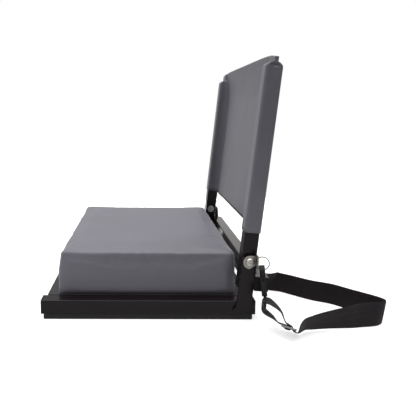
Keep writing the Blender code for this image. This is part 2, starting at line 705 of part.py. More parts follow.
def flat(bm, outline, half):
    """Extrude an outline drawn in x and z by half its thickness each way along y."""
    skin(bm, [[Vector((p.x, -half, p.y)) for p in outline], [Vector((p.x, half, p.y)) for p in outline]])


def hook_gate(name, side, parent):
    """Sprung trigger: its foot turns on a cross pin, its tip shuts the mouth below the nose."""
    half = GATE_WIDTH / 2
    tip = NOSE_Z - CLEAR - GATE_Z
    turns = [math.pi * (1 + k / 6) for k in range(7)]
    round_foot = [(half * math.cos(a), half * math.sin(a)) for a in turns]
    out = half + GATE_TAB
    tab = [(half, GATE_TAB_LOW), (out, GATE_TAB_LOW + GATE_TAB_SLOPE), (out, GATE_TAB_HIGH - GATE_TAB_SLOPE),
           (half, GATE_TAB_HIGH)]
    outline = [Vector(p) for p in round_foot + tab + [(half, tip), (-half, tip)]]
    gate = put(name, sided(lambda bm: flat(bm, outline, GATE_THICK / 2), side), "plastic", parent)
    reach = HOOK_THICK / 2 - CLEAR
    pin = [(GATE_PIN, -reach), (GATE_PIN, reach)]
    combine(gate, cutter("cut_axle_" + name, sided(lambda bm: turned(bm, pin, 12), 1), parent), "UNION")
    bpy.data.objects["cut_axle_" + name].rotation_euler.x = math.pi / 2


def swivel_eye(name, side, parent):
    """A rectangular eye for the webbing under a headed pin that turns in the hook's foot."""
    outer = rounded_rect(2 * EYE_HALF, 2 * EYE_BAR + EYE_SLOT, EYE_BAR * 0.9)
    inner = rounded_rect(2 * (EYE_HALF - EYE_BAR), EYE_SLOT, EYE_BAR * 0.25)
    drop = EYE_TOP - EYE_BAR - EYE_SLOT / 2

    def loops(points):
        return [[Vector((p.x, y, p.y + drop)) for p in points] for y in (-EYE_BAR / 2, EYE_BAR / 2)]
    eye = put(name, sided(lambda bm: hollow(bm, loops(outer), loops(inner)), side), "plastic", parent)
    seat = -HOOK_LENGTH + FOOT_WALL + CLEAR
    pin = [(SWIVEL_RADIUS, EYE_TOP - EYE_BAR / 2), (SWIVEL_RADIUS, seat), (SWIVEL_HEAD_RADIUS, seat),
           (SWIVEL_HEAD_RADIUS, seat + SWIVEL_HEAD_HEIGHT)]
    combine(eye, cutter("cut_neck_" + name, sided(lambda bm: turned(bm, pin, 16), side), parent), "UNION")
    return eye


def clip(word, side, eye_turn):
    """Ring, hook, gate and swivel of one side, each on an empty at its joint."""
    yaw = Matrix.Rotation(-math.radians(RING_YAW_DEG), 4, "Z")
    centre = at(*ring_hole()) @ yaw @ at(0, RING_HANG, RING_CENTRE_Z)
    ring = empty("ring_joint_" + word, side_matrix(centre, side))
    put("split_ring_" + word, sided(split_ring, side), "steel", ring)
    lean = Matrix.Rotation(math.radians(HOOK_LEAN_DEG), 4, "X")
    swing = Matrix.Rotation(-math.radians(HOOK_OUT_DEG), 4, "Y")
    hang = at(0, 0, -RING_RADIUS) @ lean @ swing
    hook = empty("hook_joint_" + word, side_matrix(hang, side), ring)
    hook_body("snap_hook_" + word, side, hook)
    gate = empty("gate_joint_" + word, side_matrix(at(GATE_X, 0, GATE_Z), side), hook)
    hook_gate("hook_gate_" + word, side, gate)
    spin = empty("swivel_joint_" + word, Matrix.Rotation(math.radians(eye_turn), 4, "Z"), hook)
    swivel_eye("swivel_eye_" + word, side, spin)
    bpy.context.view_layer.update()
    return spin.matrix_world.copy()


# Webbing and slide

def smooth(stations, steps):
    """Points on a smooth curve through the stations, each a place and a width direction."""
    before = tuple(2 * a - b for a, b in zip(stations[0], stations[1]))
    after = tuple(2 * a - b for a, b in zip(stations[-1], stations[-2]))
    line = [before] + stations + [after]
    out = []
    for four in zip(line, line[1:], line[2:], line[3:]):
        knots = [0.0]
        for a, b in zip(four, four[1:]):
            knots.append(knots[-1] + math.sqrt((b[0] - a[0]).length))
        for j in range(steps):
            t = knots[1] + (knots[2] - knots[1]) * j / steps
            out.append(tuple(spline([s[i] for s in four], knots, t) for i in (0, 1)))
    return out + [stations[-1]]


def spline(points, knots, t):
    """Centripetal curve through four points, by repeated linear interpolation."""
    for spans in (((0, 1), (1, 2), (2, 3)), ((0, 2), (1, 3)), ((1, 2),)):
        shares = [(t - knots[i]) / (knots[j] - knots[i]) for i, j in spans]
        points = [a.lerp(b, share) for a, b, share in zip(points, points[1:], shares)]
    return points[0]


def ribbon(bm, stations):
    """Flat webbing; both faces are cut along the same diagonals, so a twist keeps its thickness."""
    rows = []
    last = len(stations) - 1
    for k, (place, width) in enumerate(stations):
        along = stations[min(last, k + 1)][0] - stations[max(0, k - 1)][0]
        face = along.cross(width).normalized() * STRAP_THICK / 2
        side = width.normalized() * STRAP_WIDTH / 2
        corners = (place + side + face, place - side + face, place - side - face, place + side - face)
        rows.append([bm.verts.new(p) for p in corners])
    for a, b in zip(rows, rows[1:]):
        for i, j in ((0, 1), (1, 2)):
            bm.faces.new((a[i], a[j], b[j]))
            bm.faces.new((a[i], b[j], b[i]))
        for i, j in ((2, 3), (3, 0)):
            bm.faces.new((a[i], a[j], b[i]))
            bm.faces.new((a[j], b[j], b[i]))
    bm.faces.new(rows[0])
    bm.faces.new(rows[-1])


# The band behind the chair: place of the middle and direction from its lower to its upper edge
BAND = [((0.2850, 0.2570, 0.0180), (0.58, -0.24, 0.78)), ((0.2800, 0.2720, 0.0188), (0.49, -0.22, 0.85)),
        ((0.2757, 0.2870, 0.0196), (0.40, -0.20, 0.89)), ((0.2705, 0.3110, 0.0205), (0.26, -0.16, 0.95)),
        ((0.2641, 0.3401, 0.0210), (0.05, -0.09, 0.99)), ((0.2574, 0.3603, 0.0210), (-0.18, 0.03, 0.98)),
        ((0.2535, 0.3800, 0.0208), (-0.25, 0.07, 0.97)), ((0.2500, 0.3990, 0.0207), (-0.22, 0.24, 0.94)),
        ((0.2430, 0.4090, 0.0209), (-0.14, 0.22, 0.96)), ((0.2320, 0.4100, 0.0211), (-0.05, 0.06, 1.0)),
        ((0.2161, 0.3985, 0.0212), (0.0, 0.0, 1.0)), ((0.1918, 0.3745, 0.0212), (0.0, 0.0, 1.0)),
        ((0.1660, 0.3500, 0.0212), (0.0, 0.0, 1.0)), ((0.1475, 0.3175, 0.0212), (0.0, 0.0, 1.0)),
        ((0.1220, 0.2880, 0.0212), (0.0, 0.0, 1.0)), ((0.1040, 0.2650, 0.0212), (0.0, 0.03, 1.0)),
        ((0.0945, 0.2545, 0.0190), (-0.10, 0.50, 0.86)), ((0.0800, 0.2435, 0.0157), (-0.10, 0.73, 0.68)),
        ((0.0550, 0.2350, 0.0116), (-0.08, 0.87, 0.48)), ((0.0200, 0.2305, 0.0080), (-0.04, 0.95, 0.31)),
        ((-0.0150, 0.2290, 0.0048), (-0.02, 0.99, 0.14)), ((-0.0500, 0.2280, 0.0026), (0.0, 1.0, 0.03)),
        ((-0.0900, 0.2270, 0.0018), (0.0, 1.0, 0.0)), ((-0.1300, 0.2280, 0.0022), (0.0, 1.0, 0.0))]
# The end sewn to the right eye: distance behind its bar and height above it, down and back under
SEWN_DOWN = [(0.070, -0.0335), (0.045, -0.0205), (0.024, -0.0075), (0.009, 0.0022)]
SEWN_BACK = [(0.010, -0.0085), (0.024, -0.0105), (0.042, -0.0218)]

WRAP = EYE_BAR * 0.78 + CLEAR + STRAP_THICK / 2     # middle of the webbing round an eye's bar
LAYER = SLIDE_BAR + CLEAR + STRAP_THICK / 2         # middle of the webbing beside the slide's bars
SECOND = LAYER + STRAP_THICK + SPLIT_GAP
DIP = -LAYER - 2 * SPLIT_GAP


def slide_frame():
    """Place of the slide: x across the webbing, y along it away from the hook, z out of its face."""
    across = Vector(SLIDE_ACROSS).normalized()
    face = across.cross(Vector(SLIDE_ALONG)).normalized()
    turn = Matrix((across, face.cross(across), face)).transposed()
    return at(*SLIDE_PLACE) @ turn.to_4x4()


def slide_loop(eye, slide):
    """The adjustable loop: sewn round the slide's middle bar, up, over the eye's bar and back."""
    def by_slide(pitches, z):
        return (slide @ Vector((0, pitches * SLIDE_PITCH, z)), slide.col[0].xyz)

    def by_eye(q, z):
        return (eye @ Vector((0, q * WRAP, BAR_Z + z * WRAP)), eye.col[0].xyz)
    turn = LAYER / SLIDE_PITCH
    sewn = [by_slide(-0.6, -LAYER - SPLIT_GAP / 2), by_slide(0, -LAYER), by_slide(0.75 * turn, -0.68 * LAYER),
            by_slide(1.05 * turn, 0), by_slide(0.75 * turn, 0.68 * LAYER), by_slide(0, LAYER),
            by_slide(-0.9, LAYER + SPLIT_GAP), by_slide(-1.6, LAYER + 2 * SPLIT_GAP)]
    wrap = [by_eye(-1.1, -2.2), by_eye(-1.14, 0.1), by_eye(-0.74, 0.72), by_eye(0, 1), by_eye(0.9, 0.95),
            by_eye(2, 0.5)]
    thread = [by_slide(-0.6, 1.5 * SECOND), by_slide(0, SECOND), by_slide(0.39, 1.2 * LAYER),
              by_slide(0.65, 0.6 * DIP), by_slide(1, DIP), by_slide(1.35, DIP)]
    middle = by_eye(0, 0)[0].lerp(by_slide(0, 0)[0], 0.5)
    twist = by_slide(0, 0)[1].lerp(by_eye(0, 0)[1], 0.5)
    front = [(middle + Vector(LOOP_FRONT), twist)]
    rear = [(middle + Vector(LOOP_REAR), twist)]
    return sewn + front + wrap + rear + thread


def sewn_end(eye):
    """The other end: over the eye's bar, round it and back under itself."""
    bar = eye @ Vector((0, 0, BAR_Z))
    across = eye.col[0].xyz
    away = across.cross(Vector((0, 0, 1))).normalized()
    turn = [(0, 1), (-0.75, 0.75), (-1, 0), (-0.7, -0.8), (0.2, -1.1)]
    route = SEWN_DOWN + [(WRAP * q, WRAP * z) for q, z in turn] + SEWN_BACK
    return [(bar + away * q + Vector((0, 0, z)), across) for q, z in route]


def strap_slide(slide):
    """Three round bars joined by two side bars."""
    half = STRAP_WIDTH / 2 + SLIDE_SIDE_GAP + SLIDE_BAR
    outer = rounded_rect(2 * (half + SLIDE_BAR), 2 * (SLIDE_PITCH + SLIDE_BAR), SLIDE_BAR * 1.5)
    inner = rounded_rect(2 * (half - SLIDE_BAR), 2 * (SLIDE_PITCH - SLIDE_BAR), SLIDE_BAR * 0.5)
    slider = put("strap_slider", moved(lambda b: pipe(b, outer, inner, -SLIDE_BAR, SLIDE_BAR), slide), "zinc")
    radius = SLIDE_BAR * 0.95
    bar = moved(lambda b: turned(b, [(radius, -half), (radius, half)], 10), slide @ AXIS_X)
    combine(slider, cutter("cut_middle_bar", bar), "UNION")


def strap(left_eye, right_eye):
    slide = slide_frame()
    strap_slide(slide)
    band = [(Vector(place), Vector(width)) for place, width in BAND]
    bm = bmesh.new()
    ribbon(bm, smooth(slide_loop(left_eye, slide) + band + sewn_end(right_eye), 3))
    put("shoulder_strap", bm, "webbing")


def build():
    clear_scene()
    reach = HEAD_X + BOLT_HEAD_HEIGHT
    axle = [(BORE_RADIUS, -reach), (BORE_RADIUS, reach)]
    bore = cutter("cut_pivot_bore", moved(lambda bm: turned(bm, axle), AXLE))
    rails = base_frame()
    board_screws(rails, seat_board())
    seat_cushion()
    posts(bore)
    fasteners()
    strap_brackets(bore)
    folding_back(bore)
    left = clip("left", 1, EYE_TURN_LEFT_DEG)
    right = clip("right", -1, EYE_TURN_RIGHT_DEG)
    strap(left, right)


build()
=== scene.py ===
# %% [markdown]
# # A folding stadium chair, dressed for its portrait
#
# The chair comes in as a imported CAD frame: every rigid piece already has its true shape, place and
# joint. This script gives it what CAD leaves out: the stuffed seat, the sewn back, the webbing strap
# and the finish of every surface. It reads from top to bottom, one small step per cell.

# %% Load the frame
import json
import math

import bmesh
import bpy
from mathutils import Matrix, Vector


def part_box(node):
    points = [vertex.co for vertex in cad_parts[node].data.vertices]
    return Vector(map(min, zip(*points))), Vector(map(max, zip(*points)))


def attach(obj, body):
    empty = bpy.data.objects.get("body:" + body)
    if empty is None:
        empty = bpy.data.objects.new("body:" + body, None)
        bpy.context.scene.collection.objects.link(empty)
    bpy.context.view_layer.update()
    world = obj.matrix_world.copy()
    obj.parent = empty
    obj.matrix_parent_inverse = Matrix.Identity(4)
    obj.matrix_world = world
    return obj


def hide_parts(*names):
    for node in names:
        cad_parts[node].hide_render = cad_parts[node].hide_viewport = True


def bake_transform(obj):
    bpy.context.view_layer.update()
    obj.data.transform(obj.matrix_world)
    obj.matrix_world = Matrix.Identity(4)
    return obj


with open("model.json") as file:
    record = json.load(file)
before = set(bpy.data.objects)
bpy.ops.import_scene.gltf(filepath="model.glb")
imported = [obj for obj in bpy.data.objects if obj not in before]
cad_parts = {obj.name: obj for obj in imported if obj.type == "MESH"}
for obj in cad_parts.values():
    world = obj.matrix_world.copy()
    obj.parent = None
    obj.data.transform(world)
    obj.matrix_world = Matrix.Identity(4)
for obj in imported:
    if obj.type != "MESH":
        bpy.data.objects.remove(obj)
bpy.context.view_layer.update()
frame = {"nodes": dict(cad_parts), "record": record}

# %% [markdown]
# ## Where the photographer stood
#
# The photograph was taken from the sitter's left, a metre away and a little above the seat. Its optical
# axis is left of and above the middle of the picture, as in a picture cropped from a wider one, so the
# camera needs a shift. A place, three angles and a focal length in pixels describe it fully.

# %% Camera
PHOTO_SIDE = 416.0              # pixels, the picture is square
FOCAL_PIXELS = 448.6
AXIS_PIXEL = (148.0, 168.0)     # where the optical axis meets the picture, from its top left corner
SENSOR_WIDTH = 36.0             # millimetres
CAMERA_PLACE = Vector((0.9817, -0.0137, 0.3576))
CAMERA_YAW = -0.01447           # radians, from looking along -X
CAMERA_PITCH = 0.11861          # radians, downward
CAMERA_ROLL = 0.00917


def camera_axes(yaw, pitch, roll):
    """Right, up and forward directions of the camera."""
    level = math.cos(pitch)
    forward = Vector((-level * math.cos(yaw), -level * math.sin(yaw), -math.sin(pitch)))
    right = Vector((-math.sin(yaw), math.cos(yaw), 0))
    up = right.cross(forward)
    cosine, sine = math.cos(roll), math.sin(roll)
    return cosine * right + sine * up, cosine * up - sine * right, forward


def make_camera():
    data = bpy.data.cameras.new("camera")
    data.sensor_width = SENSOR_WIDTH
    data.lens = FOCAL_PIXELS / PHOTO_SIDE * SENSOR_WIDTH
    data.shift_x = 0.5 - AXIS_PIXEL[0] / PHOTO_SIDE
    data.shift_y = AXIS_PIXEL[1] / PHOTO_SIDE - 0.5
    camera = bpy.data.objects.new("camera", data)
    bpy.context.collection.objects.link(camera)
    right, up, forward = camera_axes(CAMERA_YAW, CAMERA_PITCH, CAMERA_ROLL)
    turn = Matrix((right, up, -forward)).transposed().to_4x4()
    camera.matrix_world = Matrix.Translation(CAMERA_PLACE) @ turn
    bpy.context.scene.camera = camera
    return camera


camera = make_camera()
print("lens", round(camera.data.lens, 2), "mm, shift",
      round(camera.data.shift_x, 3), round(camera.data.shift_y, 3))

# %% [markdown]
# ## The strap's route
#
# The shoulder strap is a metre of flat nylon webbing. At the sitter's left it is sewn round the middle
# bar of a wire slide, goes up through the eye of a snap hook, comes back through the slide and then lies
# on the floor: out to the rear, back on itself in one fold, and under the chair's rear to the other hook,
# where its end is sewn. A webbing is wide and thin, so each station of its route is a place and the
# direction of its width.

# %% Strap route
WEB_WIDTH = 0.040
WEB_THICK = 0.0018
ROW_STEPS = 8                   # rows of the mesh from one station to the next
AT_SLIDE = (0.84, -0.30, 0.45)  # directions of the width: at the slide,
HALF_WAY = (0.91, -0.30, 0.29)  # between the slide and the left eye,
AT_LEFT = (0.95, -0.29, 0.12)   # at the left eye
AT_RIGHT = (-0.45, 0.88, 0.15)  # and at the right eye
ON_EDGE = (0.00, 0.00, 1.00)
LYING = (0.00, 1.00, 0.00)
LOOP = [                        # from the slide round the left eye and back
    ((0.2899, 0.2214, 0.0136), AT_SLIDE), ((0.2924, 0.2273, 0.0129), AT_SLIDE),
    ((0.2928, 0.2292, 0.0133), AT_SLIDE), ((0.2925, 0.2303, 0.0147), AT_SLIDE),
    ((0.2916, 0.2301, 0.0162), AT_SLIDE), ((0.2906, 0.2287, 0.0171), AT_SLIDE),
    ((0.2866, 0.2200, 0.0188), AT_SLIDE), ((0.2835, 0.2132, 0.0201), AT_SLIDE),
    ((0.2740, 0.2070, 0.0248), HALF_WAY), ((0.2557, 0.1943, 0.0317), AT_LEFT),
    ((0.2542, 0.1932, 0.0415), AT_LEFT), ((0.2542, 0.1946, 0.0444), AT_LEFT),
    ((0.2549, 0.1975, 0.0460), AT_LEFT), ((0.2560, 0.2013, 0.0463), AT_LEFT),
    ((0.2576, 0.2060, 0.0450), AT_LEFT), ((0.2725, 0.2196, 0.0354), HALF_WAY),
    ((0.2864, 0.2241, 0.0220), AT_SLIDE), ((0.2898, 0.2293, 0.0191), AT_SLIDE),
    ((0.2921, 0.2327, 0.0170), AT_SLIDE), ((0.2950, 0.2338, 0.0124), AT_SLIDE),
    ((0.2970, 0.2369, 0.0107), AT_SLIDE), ((0.2985, 0.2403, 0.0102), AT_SLIDE),
]
BAND = [                        # along the floor
    ((0.2962, 0.2445, 0.0160), (0.66, -0.20, 0.72)), ((0.2850, 0.2570, 0.0180), (0.58, -0.24, 0.78)),
    ((0.2800, 0.2720, 0.0188), (0.49, -0.22, 0.85)),
    ((0.2757, 0.2870, 0.0196), (0.40, -0.20, 0.89)), ((0.2705, 0.3110, 0.0205), (0.26, -0.16, 0.95)),
    ((0.2641, 0.3401, 0.0210), (0.05, -0.09, 0.99)), ((0.2574, 0.3603, 0.0210), (-0.18, 0.03, 0.98)),
    ((0.2535, 0.3800, 0.0208), (-0.25, 0.07, 0.97)), ((0.2500, 0.3990, 0.0207), (-0.22, 0.24, 0.94)),
    ((0.2430, 0.4090, 0.0209), (-0.14, 0.22, 0.97)), ((0.2320, 0.4100, 0.0211), (-0.05, 0.06, 1.00)),
    ((0.2161, 0.3985, 0.0212), ON_EDGE), ((0.1918, 0.3745, 0.0212), ON_EDGE),
    ((0.1660, 0.3500, 0.0212), ON_EDGE), ((0.1475, 0.3175, 0.0212), ON_EDGE),
    ((0.1220, 0.2880, 0.0212), ON_EDGE), ((0.1040, 0.2650, 0.0212), (0.00, 0.03, 1.00)),
    ((0.0945, 0.2545, 0.0190), (-0.10, 0.50, 0.86)), ((0.0800, 0.2435, 0.0157), (-0.10, 0.73, 0.68)),
    ((0.0550, 0.2350, 0.0116), (-0.08, 0.87, 0.48)), ((0.0200, 0.2305, 0.0080), (-0.04, 0.95, 0.31)),
    ((-0.0150, 0.2290, 0.0048), (-0.02, 0.99, 0.14)), ((-0.0500, 0.2280, 0.0026), (0.00, 1.00, 0.03)),
    ((-0.0900, 0.2270, 0.0018), LYING), ((-0.1300, 0.2280, 0.0022), LYING),
]
SEWN = [                        # round the right eye
    ((-0.1932, 0.2298, 0.0082), AT_RIGHT), ((-0.2155, 0.2184, 0.0212), AT_RIGHT),
    ((-0.2342, 0.2089, 0.0342), AT_RIGHT), ((-0.2476, 0.2020, 0.0439), AT_RIGHT),
    ((-0.2556, 0.1979, 0.0460), AT_RIGHT), ((-0.2585, 0.1965, 0.0450), AT_RIGHT),
    ((-0.2594, 0.1960, 0.0417), AT_RIGHT), ((-0.2583, 0.1966, 0.0383), AT_RIGHT),
    ((-0.2548, 0.1983, 0.0370), AT_RIGHT), ((-0.2467, 0.2025, 0.0332), AT_RIGHT),
    ((-0.2342, 0.2089, 0.0312), AT_RIGHT), ((-0.2182, 0.2170, 0.0199), AT_RIGHT),
]


def between(points, knots, t):
    """Centripetal curve through four points, by repeated linear interpolation."""
    for spans in (((0, 1), (1, 2), (2, 3)), ((0, 2), (1, 3)), ((1, 2),)):
        shares = [(t - knots[i]) / (knots[j] - knots[i]) for i, j in spans]
        points = [a.lerp(b, share) for a, b, share in zip(points, points[1:], shares)]
    return points[0]


def smooth(stations):
    """Rows on a smooth curve through the stations, each a place and a width direction."""
    line = [(Vector(place), Vector(width)) for place, width in stations]
    line.insert(0, tuple(2 * a - b for a, b in zip(line[0], line[1])))
    line.append(tuple(2 * a - b for a, b in zip(line[-1], line[-2])))
    rows = []
    for four in zip(line, line[1:], line[2:], line[3:]):
        knots = [0.0]
        for a, b in zip(four, four[1:]):
            knots.append(knots[-1] + math.sqrt((b[0] - a[0]).length))
        for j in range(ROW_STEPS):
            t = knots[1] + (knots[2] - knots[1]) * j / ROW_STEPS
            rows.append(tuple(between([s[i] for s in four], knots, t) for i in (0, 1)))
    return rows + [line[-2]]


rows = smooth(LOOP + BAND + SEWN)
travel = [0.0]
for a, b in zip(rows, rows[1:]):
    travel.append(travel[-1] + (b[0] - a[0]).length)
print("strap rows", len(rows), "length", round(travel[-1], 3), "m")

# %% [markdown]
# ## Webbing
#
# Each row becomes a cross-section: flat faces and thin, rounded selvedges. The strap crosses three joints
# at each end, at the ring, the hook and the swivel, so it is made in seven pieces that share their end
# rows. The long band stays on the base; the six short pieces are made in place.

# %% Strap pieces
COLUMNS = (-1.0, -0.93, -0.8, -0.4, 0.0, 0.4, 0.8, 0.93, 1.0)
SELVEDGE_LOSS = 0.7             # share of the thickness that is lost at the very edge
SELVEDGE_POWER = 12             # high, so that only the edge is thin


def section(k):
    """Corner points of the cross-section in row k, first over the face, then back under it."""
    last = len(rows) - 1
    place, width = rows[k]
    along = rows[min(last, k + 1)][0] - rows[max(0, k - 1)][0]
    side = width.normalized() * WEB_WIDTH / 2
    face = along.cross(width).normalized() * WEB_THICK / 2
    lift = {c: face * (1 - SELVEDGE_LOSS * abs(c) ** SELVEDGE_POWER) for c in COLUMNS}
    over = [place + side * c + lift[c] for c in COLUMNS]
    under = [place + side * c - lift[c] for c in reversed(COLUMNS)]
    return over + under


def webbing(name, runs):
    """A closed band for each run of rows, with its length and width in metres as UV."""
    bm = bmesh.new()
    uv = bm.loops.layers.uv.new("weave")
    across = [c * WEB_WIDTH / 2 for c in COLUMNS + COLUMNS[::-1]]
    for first, last in runs:
        spot = {}
        loops = []
        for k in range(first, last + 1):
            loops.append([bm.verts.new(p) for p in section(k)])
            spot.update({v: (travel[k], w) for v, w in zip(loops[-1], across)})
        made = [bm.faces.new(loops[0]), bm.faces.new(loops[-1][::-1])]
        for a, b in zip(loops, loops[1:]):
            for i in range(len(a)):
                j = (i + 1) % len(a)
                made.append(bm.faces.new((a[j], a[i], b[i], b[j])))
        for face in made:
            face.smooth = len(face.verts) == 4
            for corner in face.loops:
                corner[uv].uv = spot[corner.vert]
    return place_mesh(name, bm)


def place_mesh(name, bm):
    """A new object in the scene, from a finished mesh."""
    mesh = bpy.data.meshes.new(name)
    bm.to_mesh(mesh)
    bm.free()
    piece = bpy.data.objects.new(name, mesh)
    bpy.context.collection.objects.link(piece)
    return piece


def row(station):
    """Row of the mesh at a station, or part of the way to the next one."""
    return round(station * ROW_STEPS)


def bending(name, runs):
    """A piece of webbing from runs of stations, with its transform baked into its points."""
    piece = webbing(name, [(row(a), row(b)) for a, b in runs])
    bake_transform(piece)
    return piece


SEWN_AT = len(LOOP) + len(BAND)
BAND_FROM, BAND_TO = 20, 1.5    # the strap stays on the base from a station of LOOP to one of SEWN
band_rows = (row(BAND_FROM), row(SEWN_AT + BAND_TO))
band = webbing("strap_band", [band_rows])
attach(band, "base")
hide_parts("shoulder_strap")
print("strap band", len(band.data.vertices), "points")

# %% [markdown]
# The short pieces: on the left the two sides of the adjustable loop, between the slide and the hook's
# eye; on the right the sewn end, which is doubled. On the left the bends follow one another on the line
# from the middle of the slide to the bar of the eye. On the right they follow the strap in to the bar.

# %% Strap ends
SLIDE_MIDDLE = Vector((0.2915, 0.2280, 0.0150))
LOOP_TOP, SEWN_TOP = LOOP[12], SEWN[4]  # where the webbing lies over an eye's bar
WRAP_RISE = Vector((0, 0, 0.0043))      # from the middle of the bar to the webbing over it


def eye_bar(side):
    """Middle of the bar that the strap goes round: below the top station of its wrap."""
    station = LOOP_TOP if side > 0 else SEWN_TOP
    return Vector(station[0]) - WRAP_RISE


def bends(side, spans):
    """Start and end of each bend: shares of the way to the left bar, or metres from the right one."""
    bar = eye_bar(side)
    if side > 0:
        return [[SLIDE_MIDDLE.lerp(bar, t) for t in span] for span in spans]
    away = Vector(SEWN[0][0]) - bar
    away.z = 0
    away.normalize()
    return [[bar + away * distance for distance in span] for span in spans]


def strap_end(side, runs, spans):
    """The three pieces of one end, each from its runs of stations."""
    word = "left" if side > 0 else "right"
    chain = ["base"] + [part + word for part in ("ring_", "hook_", "swivel_")]
    made = []
    for k, (joint, run, (start, end)) in enumerate(zip(zip(chain, chain[1:]), runs, bends(side, spans))):
        made.append(bending("strap_end_%s_%d" % (word, k + 1), run))
    return made


left_runs = [[(0, 7.25), (15.5, BAND_FROM)], [(7.25, 8), (15, 15.5)], [(8, 15)]]
right_runs = [[(SEWN_AT + a, SEWN_AT + b) for a, b in run]
              for run in ([(BAND_TO, 2), (10, 11)], [(2, 2.5), (9.5, 10)], [(2.5, 9.5)])]
left_bends = [(0.08, 0.28), (0.36, 0.50), (0.56, 0.88)]
right_bends = [(0.0340, 0.0250), (0.0232, 0.0178), (0.0158, 0.0060)]
ends = strap_end(1, left_runs, left_bends) + strap_end(-1, right_runs, right_bends)

print("strap ends", [piece.name for piece in ends])

# %% [markdown]
# ## The seat cushion
#
# A block of foam in a wrapped vinyl cover, stapled under a board. The foam gives it a flat top and firm
# edges; the tight cover rounds them a little, draws in between the corners and swells on the sides. It
# starts as a slightly small block with rolled edges, whose foot is drawn round the edge of the board. The
# block is remeshed evenly and then blown up as cloth, with a limit on how far a point may move.

# %% Seat block
seat_low, seat_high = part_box("seat_cover")
SEAT_SWELL = 0.0022             # the most that the cover moves out
SEAT_EDGE = 0.0036              # roll of the top edge before it swells
SEAT_CORNER = 0.0065            # radius of the corners, seen from above
SEAT_INSET = 0.0008             # the sides start this far inside the plan,
FOOT_OUT = 0.0006               # and the foot this far outside it
FOOT_UNDER = 0.0030             # how far the foot reaches down over the edge of the board
FOOT_TAPER = (0.007, 0.022)     # heights between which the foot runs into the side
ROUND_STEPS = 4                 # flats in a quarter of a round corner or edge
VOXEL = 0.004


def plan(inset):
    """A rectangle with round corners, at a distance inside the cushion's plan."""
    half = (seat_high - seat_low) / 2
    middle = (seat_high + seat_low) / 2
    reach = (half.x - inset - SEAT_CORNER, half.y - inset - SEAT_CORNER)
    points = []
    for quarter, (sx, sy) in enumerate(((1, 1), (-1, 1), (-1, -1), (1, -1))):
        for k in range(ROUND_STEPS + 1):
            turn = math.pi / 2 * (quarter + k / ROUND_STEPS)
            points.append((middle.x + sx * reach[0] + SEAT_CORNER * math.cos(turn),
                           middle.y + sy * reach[1] + SEAT_CORNER * math.sin(turn)))
    return points


def skin(bm, loops):
    """Faces between each loop of points and the next."""
    for a, b in zip(loops, loops[1:]):
        for i in range(len(a)):
            bm.faces.new((a[i - 1], a[i], b[i], b[i - 1]))


def seat_block():
    foot, top = seat_low.z - FOOT_UNDER, seat_high.z - SEAT_SWELL
    profile = [(-FOOT_OUT, foot), (-FOOT_OUT, foot + FOOT_TAPER[0]),
               (SEAT_INSET, foot + FOOT_TAPER[1]), (SEAT_INSET, top - SEAT_EDGE)]
    for k in range(1, ROUND_STEPS + 1):
        turn = math.pi / 2 * k / ROUND_STEPS
        profile.append((SEAT_INSET + SEAT_EDGE * (1 - math.cos(turn)),
                        top - SEAT_EDGE * (1 - math.sin(turn))))
    bm = bmesh.new()
    loops = [[bm.verts.new((x, y, z)) for x, y in plan(inset)] for inset, z in profile]
    skin(bm, loops)
    bm.faces.new(loops[0][::-1])
    bm.faces.new(loops[-1])
    return place_mesh("seat_cushion", bm)


def apply_modifiers(piece):
    """Bake what the modifiers make of a piece into its mesh."""
    view = bpy.context.evaluated_depsgraph_get()
    baked = bpy.data.meshes.new_from_object(piece.evaluated_get(view))
    piece.modifiers.clear()
    old = piece.data
    piece.data = baked
    bpy.data.meshes.remove(old)


cushion = seat_block()
remesh = cushion.modifiers.new("even", "REMESH")
remesh.mode = "VOXEL"
remesh.voxel_size = VOXEL
apply_modifiers(cushion)
print("seat block", len(cushion.data.vertices), "points")

# %% [markdown]
# The foam pushes outward like a pressure, and the vinyl is stiff, so the cover barely stretches. What
# touches the board is pinned.

# %% Seat stuffing
CLOTH_FRAMES = 20
HELD_HEIGHT = 0.003             # points below this height above the board are pinned
CLOTH = {
    "quality": 6, "mass": 0.35, "tension_stiffness": 25, "compression_stiffness": 25, "shear_stiffness": 12,
    "bending_stiffness": 2.0, "use_pressure": True, "uniform_pressure_force": 4.0,
}


def stuff(piece, swell):
    """Blow the cover up, and then bring every point back to within the swell of where it was."""
    rest = [v.co.copy() for v in piece.data.vertices]
    held = piece.vertex_groups.new(name="held")
    for v in piece.data.vertices:
        held.add([v.index], 1.0 if v.co.z < seat_low.z + HELD_HEIGHT else 0.0, "REPLACE")
    cloth = piece.modifiers.new("cover", "CLOTH")
    for label, value in CLOTH.items():
        setattr(cloth.settings, label, value)
    cloth.settings.effector_weights.gravity = 0.0
    cloth.settings.vertex_group_mass = "held"
    cloth.point_cache.frame_start = 1
    cloth.point_cache.frame_end = CLOTH_FRAMES
    scene = bpy.context.scene
    for frame_number in range(1, CLOTH_FRAMES + 1):
        scene.frame_set(frame_number)
    apply_modifiers(piece)
    for v, old in zip(piece.data.vertices, rest):
        move = v.co - old
        if move.length > swell:
            v.co = old + move * (swell / move.length)
    scene.frame_set(1)


stuff(cushion, SEAT_SWELL)
low = Vector([min(v.co[i] for v in cushion.data.vertices) for i in range(3)])
high = Vector([max(v.co[i] for v in cushion.data.vertices) for i in range(3)])
print("cushion from", tuple(low), "to", tuple(high))

# %% [markdown]
# Hands have pressed the top and the cover has been pulled over the foam, so the top crowns softly, the
# sides draw in between the corners, and short folds run up the sides near the top edge. At the two front
# corners the wrapped cover is folded into a pleat that stands proud of the front.
#
# Here a place on the cushion is a share: x and y run from -1 to 1 over its plan, and up from 0 to 1.

